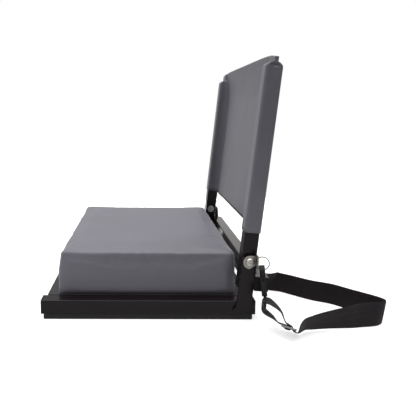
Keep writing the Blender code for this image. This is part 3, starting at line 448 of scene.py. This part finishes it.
# %% Seat shaping
SEAT_CROWN = 0.0032
CROWN_POWER = 4                 # high, so that only the top crowns
SEAT_DRAW = 0.0007              # how far the sides draw in
SIDE_FROM = 0.94                # a point farther out than this is on a side
FOLD_DEPTH = 0.0007
FOLD_UP, FOLD_REACH = 0.86, 0.2
FOLDS_ALONG_Y = (95, 9, 21)     # radians per metre, then the size and rate of what makes them uneven
FOLDS_ALONG_X = (90, 8, 19)
FRONT_FROM = -0.9
PLEAT_DEPTH = 0.0034
PLEAT_OUT, PLEAT_WIDTH = 0.965, 0.035
PLEAT_UP, PLEAT_REACH = 0.45, 0.33


def bell(x, width):
    return math.exp(-(x / width) ** 2)


def fold(place, up, pattern):
    """Depth of the folds in a side, at a place along it in metres."""
    rate, sway, sway_rate = pattern
    wave = math.sin(rate * place + sway * math.sin(sway_rate * place))
    return FOLD_DEPTH * wave * bell(up - FOLD_UP, FOLD_REACH)


def shape_cushion(piece):
    middle = (seat_low + seat_high) / 2
    half = (seat_high - seat_low) / 2
    for v in piece.data.vertices:
        x, y = (v.co.x - middle.x) / half.x, (v.co.y - middle.y) / half.y
        up = (v.co.z - seat_low.z) / (seat_high.z - seat_low.z)
        crown = max(0.0, 1 - x * x) * max(0.0, 1 - y * y)
        v.co.z += SEAT_CROWN * math.sqrt(crown) * max(0.0, up) ** CROWN_POWER
        if abs(x) > SIDE_FROM:
            v.co.x -= math.copysign(SEAT_DRAW * (1 - y * y) * up, x)
            v.co.x += fold(v.co.y, up, FOLDS_ALONG_Y)
        if abs(y) > SIDE_FROM:
            v.co.y -= math.copysign(SEAT_DRAW * (1 - x * x) * up, y)
            v.co.y += fold(v.co.x, up, FOLDS_ALONG_X)
        if y < FRONT_FROM:
            v.co.y -= PLEAT_DEPTH * bell(abs(x) - PLEAT_OUT, PLEAT_WIDTH) * bell(up - PLEAT_UP, PLEAT_REACH)
    piece.data.shade_smooth()


shape_cushion(cushion)
round_off = cushion.modifiers.new("round", "SUBSURF")
round_off.levels = 1
round_off.render_levels = 1
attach(cushion, "base")
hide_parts("seat_foam", "seat_cover")

# %% [markdown]
# ## The back's cover
#
# The back is one length of the same vinyl, folded and sewn into a wide case that slips over the two
# uprights. Stitching turns its ends into a pocket round each upright; between the pockets two layers are
# stretched flat, near the rear of the tubes. The top is one straight seam, so above the tubes the case
# closes like a milk carton: the pockets' ends tuck in, and the ends of the seam stand out as small ears.
#
# The cover is one loop of columns round the case, repeated in rows from the hem to the seam. Its places
# are in the back's own directions: x across, w rearward and u up along the leaning uprights, from the
# hinge.

# %% Back measures
HINGE = Vector((0, 0.174, 0.1067))
LEAN = math.radians(5.35)
VINYL_THICK = 0.0011
POCKET_OUT = 0.2319             # outer side of a pocket
POCKET_IN = 0.2022
POCKET_HALF = 0.0146            # half its depth
CORNER = 0.0048
PANEL_FRONT = 0.0116
PANEL_BREAK = 0.270             # where the panel starts to lean in to the seam
PANEL_CURVE = 2.2               # above 1, so that it leans in ever faster
BRIDGE = 0.0090                 # the cloth bridges the corner between panel and pocket
BRIDGE_LEAD = 0.0008            # the panel is flat until this close to the bridge
HEM_POCKET, HEM_PANEL = 0.0505, 0.0472
EAVES, RIDGE = 0.3325, 0.3410   # where the pockets start to close, and are shut
SEAM_TOP, SEAM_TILT, SEAM_DROP = 0.358, 0.0096, 0.00675
SEAM_POWER = 8                  # high, so that only the ends of the seam drop
SEAM_HALF = 0.0013
EAR_OUT, EAR_HALF = 0.0034, 0.0034
EAR_RISE = 0.002                # the ears grow out of the ridge over twice this height
EAR_SPAN = (POCKET_IN - 0.006, POCKET_IN + 0.004)   # where the seam thickens to an ear
TUCK, TUCK_LEAD = 0.0100, 0.001     # depth of the tuck, and how far below the eaves it starts
DENT = 0.0009                   # a hollow in the pocket's side that leads in to the tuck
DENT_SPAN = (EAVES - 0.012, EAVES - 0.002)
HEM_STEP = (0.90, 1.02)         # shares of the way out to a pocket: where the hem rises,
CREASE_END = (0.85, 1.00)       # where the creases fade
PANEL_END = (0.88, 1.00)        # and where the rear of the panel runs into that of the pocket
CREASES = [                     # x and u of the middle, slope, height and width of each
    (0.10, 0.296, 0.20, 0.0011, 0.010), (0.05, 0.282, 0.16, -0.0007, 0.012),
    (-0.12, 0.300, -0.22, 0.0008, 0.011), (0.15, 0.105, -0.25, 0.0006, 0.014),
    (-0.14, 0.100, 0.25, 0.0006, 0.014),
]
CREASE_REACH = 0.07
PANEL_COLUMNS, BRIDGE_COLUMNS, POCKET_COLUMNS, END_COLUMNS = 18, 6, 5, 8
LEVELS = ((0.0, 0.925, 36), (0.925, 0.975, 16), (0.975, 1.0, 4))    # shares of the height, and rows

# %% [markdown]
# The pockets are boxes with round corners up to the eaves. Above them the depth shrinks in a round
# shoulder to that of the seam, while the panel leans in to meet the seam from both sides.

# %% Back cover


def back_place(x, w, u):
    return Vector((x, HINGE.y + w * math.cos(LEAN) + u * math.sin(LEAN),
                   HINGE.z - w * math.sin(LEAN) + u * math.cos(LEAN)))


def share(value, low, high):
    """How far a value is on the way from low to high, from 0 to 1."""
    return min(1.0, max(0.0, (value - low) / (high - low)))


def ease(value, low, high):
    """The same, with a gentle start and end."""
    t = share(value, low, high)
    return t * t * (3 - 2 * t)


def front_columns():
    """Half of the front from the middle out, as x and depth: panel, bridge, then the pocket's front."""
    turns = (math.pi / 6, math.pi / 3, math.pi / 2)
    edge = POCKET_IN - BRIDGE
    panel = [(edge * k / PANEL_COLUMNS, 1.0) for k in range(PANEL_COLUMNS)] + [(edge - BRIDGE_LEAD, 1.0)]
    depths = [1 - k / BRIDGE_COLUMNS for k in range(1, BRIDGE_COLUMNS + 1)]
    bridge = [(POCKET_IN - BRIDGE * depth ** 2, depth) for depth in depths]
    inner = [(POCKET_IN + CORNER * (1 - math.cos(turn)), 0.0) for turn in turns]
    wide = POCKET_OUT - POCKET_IN - 2 * CORNER
    front = [(POCKET_IN + CORNER + wide * k / POCKET_COLUMNS, 0.0) for k in range(1, POCKET_COLUMNS + 1)]
    outer = [(POCKET_OUT - CORNER + CORNER * math.sin(turn), 0.0) for turn in turns]
    return panel + bridge + inner + front + outer


def fall(past):
    """How far a face falls away, at a distance past the start of a round corner."""
    t = share(past, 0.0, CORNER)
    return CORNER * (1 - math.sqrt(1 - t * t))


def seam_height(x):
    """The seam is nearly straight, a little lower on the left, and droops at its two ends."""
    return SEAM_TOP - SEAM_TILT * x - SEAM_DROP * min(1.0, abs(x) / POCKET_OUT) ** SEAM_POWER


def seam_half(x):
    """The seam's ends are folded over, so they are thicker."""
    return SEAM_HALF + (EAR_HALF - SEAM_HALF) * ease(abs(x), *EAR_SPAN)


def closed(half, x, u):
    """Half the depth of a pocket: full up to the eaves, then a round shoulder, then the seam."""
    t = share(u, EAVES, RIDGE)
    return seam_half(x) + (half - seam_half(x)) * math.sqrt(1 - t * t)


def creases(x, u):
    """Long shallow folds where the panel is stretched towards its corners."""
    total = 0.0
    for x0, u0, slope, height, width in CREASES:
        total += height * bell(u - u0 - slope * (x - x0), width) * bell(x - x0, CREASE_REACH)
    return total


def cover_row(t):
    """Front and rear of the loop round the case, at a share t of the way from the hem to the seam."""
    half = front_columns()
    columns = [(-x, depth) for x, depth in half[:0:-1]] + half
    front, rear = [], []
    for x, depth in columns:
        side = abs(x) / POCKET_IN
        top = seam_height(x)
        hem = HEM_PANEL + (HEM_POCKET - HEM_PANEL) * ease(side, *HEM_STEP)
        u = hem + (top - hem) * t
        lean = share(u, PANEL_BREAK, top) ** PANEL_CURVE
        sway = creases(x, u) * (1 - ease(side, *CREASE_END))
        panel = 1 - ease(side, *PANEL_END)
        outer = fall(abs(x) - POCKET_OUT + CORNER)
        inner = fall(POCKET_IN + CORNER - abs(x)) if depth < 1 else 0.0
        w_pocket = closed(POCKET_HALF - outer, x, u)
        w_rear = w_pocket + (POCKET_HALF * (1 - lean) + SEAM_HALF * lean + sway - w_pocket) * panel
        w_panel = PANEL_FRONT * (1 - lean) - SEAM_HALF * lean + sway
        w_front = -closed(POCKET_HALF - max(outer, inner), x, u)
        ear = EAR_OUT * ease(u, RIDGE - EAR_RISE, RIDGE + EAR_RISE) * ease(abs(x), POCKET_IN, POCKET_OUT)
        place_x = x + math.copysign(ear, x)
        front.append((place_x, w_front + (w_panel - w_front) * depth, u))
        rear.append((place_x, w_rear, u))
    return front, rear


def end_columns(fore, aft):
    """The outer side of a pocket, from its front corner to its rear one; above the tube it tucks in."""
    x, u = fore[0], fore[2]
    high = share(u, EAVES - TUCK_LEAD, RIDGE - TUCK_LEAD)
    dent = DENT * ease(u, *DENT_SPAN) + TUCK * high * (1 - high ** 3)
    out = []
    for k in range(1, END_COLUMNS):
        pinch = dent * (1 - abs(2 * k / END_COLUMNS - 1)) if u < RIDGE else 0.0
        out.append((x - math.copysign(pinch, x), fore[1] + (aft[1] - fore[1]) * k / END_COLUMNS, u))
    return out


def back_cover():
    levels = [low + (high - low) * k / count for low, high, count in LEVELS for k in range(count)]
    bm = bmesh.new()
    loops = []
    for t in levels + [1.0]:
        front, rear = cover_row(t)
        right = end_columns(front[-1], rear[-1])
        left = end_columns(front[0], rear[0])[::-1]
        loops.append([bm.verts.new(back_place(*p)) for p in front + right + rear[::-1] + left])
    skin(bm, loops)
    top = loops[-1]
    wide, deep = len(front), len(right)
    fore, aft = top[:wide], top[wide + deep:2 * wide + deep][::-1]
    for i in range(wide - 1):
        bm.faces.new((fore[i], fore[i + 1], aft[i + 1], aft[i]))
    bm.faces.new([fore[-1]] + top[wide:wide + deep] + [aft[-1]])
    bm.faces.new([aft[0]] + top[2 * wide + deep:] + [fore[0]])
    bmesh.ops.recalc_face_normals(bm, faces=bm.faces)
    for face in bm.faces:
        face.smooth = True
    return place_mesh("back_case", bm)


case = back_cover()
print("back case", len(case.data.vertices), "points")
thick = case.modifiers.new("thickness", "SOLIDIFY")
thick.thickness = VINYL_THICK
thick.offset = -1.0
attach(case, "back")
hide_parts("back_cover")

# %% [markdown]
# ## Finishes
#
# Every surface gets its colour, roughness and relief from a small node group that several materials
# share. A group works in metres in the object's own space, so a 1.1 mm weave is 1.1 mm on every piece.
# The webbing alone uses UV, because its weave has to follow the strap round its bends.

# %% Node helpers
OUTPUTS = {"Color": "NodeSocketColor", "Roughness": "NodeSocketFloat", "Height": "NodeSocketFloat"}


def new_group(name):
    """An empty group with two colours in, and colour, roughness and height out."""
    tree = bpy.data.node_groups.new(name, "ShaderNodeTree")
    for label in ("Light", "Dark"):
        tree.interface.new_socket(label, in_out="INPUT", socket_type="NodeSocketColor")
    for label, kind in OUTPUTS.items():
        tree.interface.new_socket(label, in_out="OUTPUT", socket_type=kind)
    return tree, tree.nodes.new("NodeGroupInput"), tree.nodes.new("NodeGroupOutput")


def feed(tree, socket, value):
    """Link another node's output to a socket, or set it to a number."""
    if isinstance(value, bpy.types.NodeSocket):
        tree.links.new(value, socket)
    elif value is not None:
        socket.default_value = value


def calc(tree, operation, a, b=None):
    node = tree.nodes.new("ShaderNodeMath")
    node.operation = operation
    feed(tree, node.inputs[0], a)
    feed(tree, node.inputs[1], b)
    return node.outputs[0]


def weigh(tree, *terms):
    """The sum of some values, each times its weight."""
    total = None
    for value, weight in terms:
        part = calc(tree, "MULTIPLY", value, weight)
        total = part if total is None else calc(tree, "ADD", total, part)
    return total


def wave(tree, value, pitch):
    return calc(tree, "SINE", calc(tree, "MULTIPLY", value, 2 * math.pi / pitch))


def noise(tree, place, scale, detail=2.0):
    node = tree.nodes.new("ShaderNodeTexNoise")
    feed(tree, node.inputs["Vector"], place)
    node.inputs["Scale"].default_value = scale
    node.inputs["Detail"].default_value = detail
    return node.outputs[0]


def spread(tree, value, low, high, to_low, to_high):
    node = tree.nodes.new("ShaderNodeMapRange")
    for socket, number in zip(node.inputs, (value, low, high, to_low, to_high)):
        feed(tree, socket, number)
    return node.outputs[0]


def two_tone(tree, given, tone, low, high):
    """The group's dark colour where the tone is low, and its light one where it is high."""
    node = tree.nodes.new("ShaderNodeMix")
    node.data_type = "RGBA"
    feed(tree, node.inputs[0], spread(tree, tone, low, high, 0.0, 1.0))
    feed(tree, node.inputs[6], given.outputs["Dark"])
    feed(tree, node.inputs[7], given.outputs["Light"])
    return node.outputs[2]


def object_space(tree, stretch=(1, 1, 1)):
    place = tree.nodes.new("ShaderNodeTexCoord").outputs["Object"]
    node = tree.nodes.new("ShaderNodeMapping")
    node.inputs["Scale"].default_value = stretch
    tree.links.new(place, node.inputs["Vector"])
    return node.outputs[0]


def finish_group(tree, out, *values):
    for label, value in zip(OUTPUTS, values):
        feed(tree, out.inputs[label], value)
    return tree


# %% [markdown]
# Coated cloth: a plain weave under a skin of vinyl. A sum of three waves gives crossing threads on every
# face of a box. Slow noise shifts the tone, as light does on a skin that isn't quite even. Webbing: a
# zigzag twill across the band, over fine ends that run along it.

# %% Cloth and webbing groups
CLOTH_PITCH = 0.0011
TWILL_PITCH, END_PITCH = 0.0024, 0.00125
ZIGZAG = 0.005                  # width of one leg of the twill


def coated_cloth():
    tree, given, out = new_group("coated_cloth")
    place = object_space(tree)
    slow = noise(tree, place, 7.0, 3.0)
    fine = noise(tree, place, 420.0)
    folds = noise(tree, place, 26.0)
    axes = tree.nodes.new("ShaderNodeSeparateXYZ")
    tree.links.new(place, axes.inputs[0])
    threads = weigh(tree, *[(wave(tree, axis, CLOTH_PITCH), 1 / 3) for axis in axes.outputs])
    colour = two_tone(tree, given, weigh(tree, (slow, 0.8), (fine, 0.2), (threads, 0.10)), 0.3, 0.7)
    rough = spread(tree, slow, 0.3, 0.7, 0.44, 0.56)
    height = weigh(tree, (threads, 0.05), (folds, 0.6), (fine, 0.05))
    return finish_group(tree, out, colour, rough, height)


def woven_band():
    tree, given, out = new_group("woven_band")
    uv = tree.nodes.new("ShaderNodeUVMap")
    uv.uv_map = "weave"
    axes = tree.nodes.new("ShaderNodeSeparateXYZ")
    tree.links.new(uv.outputs[0], axes.inputs[0])
    along, across = axes.outputs[0], axes.outputs[1]
    slope = calc(tree, "PINGPONG", calc(tree, "ADD", across, WEB_WIDTH / 2), ZIGZAG)
    twill = wave(tree, calc(tree, "ADD", along, slope), TWILL_PITCH)
    relief = weigh(tree, (twill, 0.6), (wave(tree, across, END_PITCH), 0.4))
    fuzz = noise(tree, uv.outputs[0], 900.0, 3.0)
    slow = noise(tree, uv.outputs[0], 24.0)
    colour = two_tone(tree, given, weigh(tree, (relief, 0.28), (fuzz, 1.0), (slow, 1.0)), 0.6, 1.5)
    rough = spread(tree, fuzz, 0.3, 0.7, 0.62, 0.82)
    return finish_group(tree, out, colour, rough, weigh(tree, (relief, 1.0), (fuzz, 0.5)))


# %% [markdown]
# Hard surfaces: enamel with a faint orange peel and rubbed spots, moulded plastic with a fine
# spark-eroded grain, zinc plate with cloudy crystals and fine rolling lines, foam with fine pores,
# and a painted board whose grain still shows through.

# %% Hard groups


def speckled(name, scale, detail, rough, relief, cloud=9.0, stretch=(1, 1, 1)):
    """Cloudy tone and a fine relief: paint, plastic, zinc and foam differ in scale and gloss."""
    tree, given, out = new_group(name)
    place = object_space(tree, stretch)
    slow = noise(tree, place, cloud, 4.0)
    fine = noise(tree, place, scale, detail)
    colour = two_tone(tree, given, weigh(tree, (slow, 0.65), (fine, 0.35)), 0.35, 0.65)
    shine = spread(tree, calc(tree, "ADD", slow, fine), 0.7, 1.3, rough[0], rough[1])
    return finish_group(tree, out, colour, shine, calc(tree, "MULTIPLY", fine, relief))


def grained_board():
    tree, given, out = new_group("grained_board")
    rings = noise(tree, object_space(tree, (60.0, 2.5, 60.0)), 6.0, 5.0)
    pores = noise(tree, object_space(tree), 700.0)
    colour = two_tone(tree, given, rings, 0.35, 0.65)
    rough = spread(tree, rings, 0.3, 0.7, 0.5, 0.7)
    return finish_group(tree, out, colour, rough, weigh(tree, (rings, 0.8), (pores, 0.3)))


GROUPS = {
    "cloth": coated_cloth(),
    "band": woven_band(),
    "enamel": speckled("enamel", 900.0, 1.0, (0.17, 0.29), 0.4),
    "gloss": speckled("gloss", 900.0, 1.0, (0.12, 0.2), 0.3),
    "moulding": speckled("moulding", 2400.0, 2.0, (0.38, 0.55), 0.6),
    "plate": speckled("plate", 520.0, 4.0, (0.24, 0.44), 0.5, cloud=60.0, stretch=(1, 1, 6)),
    "foam": speckled("foam", 1100.0, 3.0, (0.75, 0.95), 1.0, cloud=30.0),
    "board": grained_board(),
}
print("groups", sorted(GROUPS))

# %% [markdown]
# A finish is a group, its light and dark colours, the depth of its relief in metres and the numbers that
# are the same all over.

# %% Materials
RELIEF_STRENGTH = 0.6
GLOSS, SHEEN = "Specular IOR Level", "Sheen Weight"
METAL = {"Metallic": 1.0}
# A warm tint on the gloss: painted reflection for the crossbar's top.
PAINTED_WARM_REFLECTION = {"Specular Tint": (1.0, 0.95, 0.82, 1.0)}
FINISHES = {
    "vinyl": ("cloth", (0.101, 0.098, 0.116), (0.081, 0.078, 0.092), 0.0006, {GLOSS: 0.25, SHEEN: 0.08}),
    "foam": ("foam", (0.55, 0.52, 0.40), (0.48, 0.45, 0.34), 0.0004, {}),
    "paint": ("enamel", (0.0062, 0.0036, 0.0052), (0.0042, 0.0024, 0.0036), 0.00004, {GLOSS: 0.11}),
    # The frame's black paint again, lighter and warmer, with a warm specular tint: a painted reflection of
    # the white surroundings on the crossbar's top.
    "paint_with_painted_reflection": ("gloss", (0.0120, 0.0100, 0.0080), (0.0080, 0.0065, 0.0050), 0.00002,
                     {GLOSS: 0.6, **PAINTED_WARM_REFLECTION}),
    "plastic": ("moulding", (0.0075, 0.0066, 0.0075), (0.0046, 0.0040, 0.0047), 0.00006, {GLOSS: 0.14}),
    "pad": ("foam", (0.0130, 0.0120, 0.0130), (0.0085, 0.0080, 0.0088), 0.0002, {GLOSS: 0.25}),
    "board": ("board", (0.0075, 0.0056, 0.0075), (0.0045, 0.0034, 0.0048), 0.00015, {GLOSS: 0.28}),
    "zinc": ("plate", (0.36, 0.35, 0.335), (0.18, 0.175, 0.17), 0.00003, METAL),
    "bracket": ("plate", (0.215, 0.205, 0.185), (0.130, 0.124, 0.115), 0.00003, METAL),
    "nylon": ("moulding", (0.66, 0.65, 0.62), (0.56, 0.55, 0.52), 0.00005, {GLOSS: 0.4}),
    "ring_steel": ("plate", (0.070, 0.066, 0.060), (0.034, 0.032, 0.030), 0.00003, METAL),
    "webbing": ("band", (0.0088, 0.0054, 0.0079), (0.0036, 0.0020, 0.0032), 0.00035,
                {GLOSS: 0.12, SHEEN: 0.04}),
}


def make_material(name, group, light, dark, depth, constants):
    material = bpy.data.materials.new(name + "_finish")
    material.use_nodes = True
    tree = material.node_tree
    shader = tree.nodes["Principled BSDF"]
    effect = tree.nodes.new("ShaderNodeGroup")
    effect.node_tree = GROUPS[group]
    effect.inputs["Light"].default_value = (*light, 1)
    effect.inputs["Dark"].default_value = (*dark, 1)
    relief = tree.nodes.new("ShaderNodeBump")
    relief.inputs["Strength"].default_value = RELIEF_STRENGTH
    relief.inputs["Distance"].default_value = depth
    tree.links.new(effect.outputs["Height"], relief.inputs["Height"])
    tree.links.new(effect.outputs["Color"], shader.inputs["Base Color"])
    tree.links.new(effect.outputs["Roughness"], shader.inputs["Roughness"])
    tree.links.new(relief.outputs["Normal"], shader.inputs["Normal"])
    for label, value in constants.items():
        shader.inputs[label].default_value = value
    return material


MATERIALS = {name: make_material(name, *facts) for name, facts in FINISHES.items()}


def dress(piece, finish):
    piece.data.materials.clear()
    piece.data.materials.append(MATERIALS[finish])


for part in frame["record"]["subparts"]:
    dress(frame["nodes"][part["node"]], part["material_slot"])
# The crossbar takes the lighter, warmer copy of the black paint: a painted reflection on its top.
dress(frame["nodes"]["back_crossbar"], "paint_with_painted_reflection")
for word in ("left", "right"):
    dress(frame["nodes"]["strap_bracket_" + word], "bracket")
for piece in (cushion, case):
    dress(piece, "vinyl")
for piece in [band] + ends:
    dress(piece, "webbing")
print("materials", len(MATERIALS))

# %% [markdown]
# ## Floor, light and background
#
# A product photograph on white, with two very broad lights from above. The key, to the front and the
# sitter's right, casts soft shadows. The fill casts none, and keeps the floor so pale that it runs into
# the white background. Most of what lights the chair's sides comes back up from the floor, which is small
# enough for that to fade with height. The background is plain white to the camera, mostly white to
# gloss, and dim to everything else.

# %% Floor and light
FLOOR_SIZE = 1.9
FLOOR_DROP = 0.0005             # just below the chair, so that no two faces coincide
FLOOR_TONE = (0.84, 0.84, 0.84, 1)
WHITE = (1, 1, 1, 1)
SKY_STRENGTH = 0.12
GLEAM = 0.7                     # share of the white background that gloss reflects


def make_floor():
    bm = bmesh.new()
    bmesh.ops.create_grid(bm, x_segments=4, y_segments=4, size=FLOOR_SIZE / 2)
    floor = place_mesh("floor", bm)
    floor.location.z = -FLOOR_DROP
    paper = bpy.data.materials.new("paper")
    paper.use_nodes = True
    shader = paper.node_tree.nodes["Principled BSDF"]
    shader.inputs["Base Color"].default_value = FLOOR_TONE
    shader.inputs["Roughness"].default_value = 0.9
    shader.inputs[GLOSS].default_value = 0.0
    floor.data.materials.append(paper)


def make_light(name, place, power, angle, shadow):
    """A sun that shines from a place to the origin, as broad as the angle in degrees."""
    data = bpy.data.lights.new(name, "SUN")
    data.energy = power
    data.angle = math.radians(angle)
    data.use_shadow = shadow
    light = bpy.data.objects.new(name, data)
    light.location = place
    light.rotation_mode = "QUATERNION"
    light.rotation_quaternion = (-light.location).to_track_quat("-Z", "Y")
    bpy.context.collection.objects.link(light)


def make_sky():
    world = bpy.data.worlds.new("studio")
    world.use_nodes = True
    bpy.context.scene.world = world
    nodes, links = world.node_tree.nodes, world.node_tree.links
    dim, seen = nodes["Background"], nodes.new("ShaderNodeBackground")
    for background, strength in ((dim, SKY_STRENGTH), (seen, 1.0)):
        background.inputs["Color"].default_value = WHITE
        background.inputs["Strength"].default_value = strength
    rays = nodes.new("ShaderNodeLightPath")
    white_share = nodes.new("ShaderNodeMath")
    white_share.operation = "MULTIPLY_ADD"
    links.new(rays.outputs["Is Glossy Ray"], white_share.inputs[0])
    white_share.inputs[1].default_value = GLEAM
    links.new(rays.outputs["Is Camera Ray"], white_share.inputs[2])
    mix = nodes.new("ShaderNodeMixShader")
    links.new(white_share.outputs[0], mix.inputs["Fac"])
    links.new(dim.outputs["Background"], mix.inputs[1])
    links.new(seen.outputs["Background"], mix.inputs[2])
    links.new(mix.outputs["Shader"], nodes["World Output"].inputs["Surface"])


make_floor()
make_light("key", (-0.4, -0.7, 3.0), power=3.3, angle=90, shadow=True)
make_light("fill", (0.0, -0.2, 3.0), power=2.9, angle=60, shadow=False)
make_sky()
bpy.context.scene.view_settings.view_transform = "Standard"
print("floor", FLOOR_SIZE, "m, sky", SKY_STRENGTH)
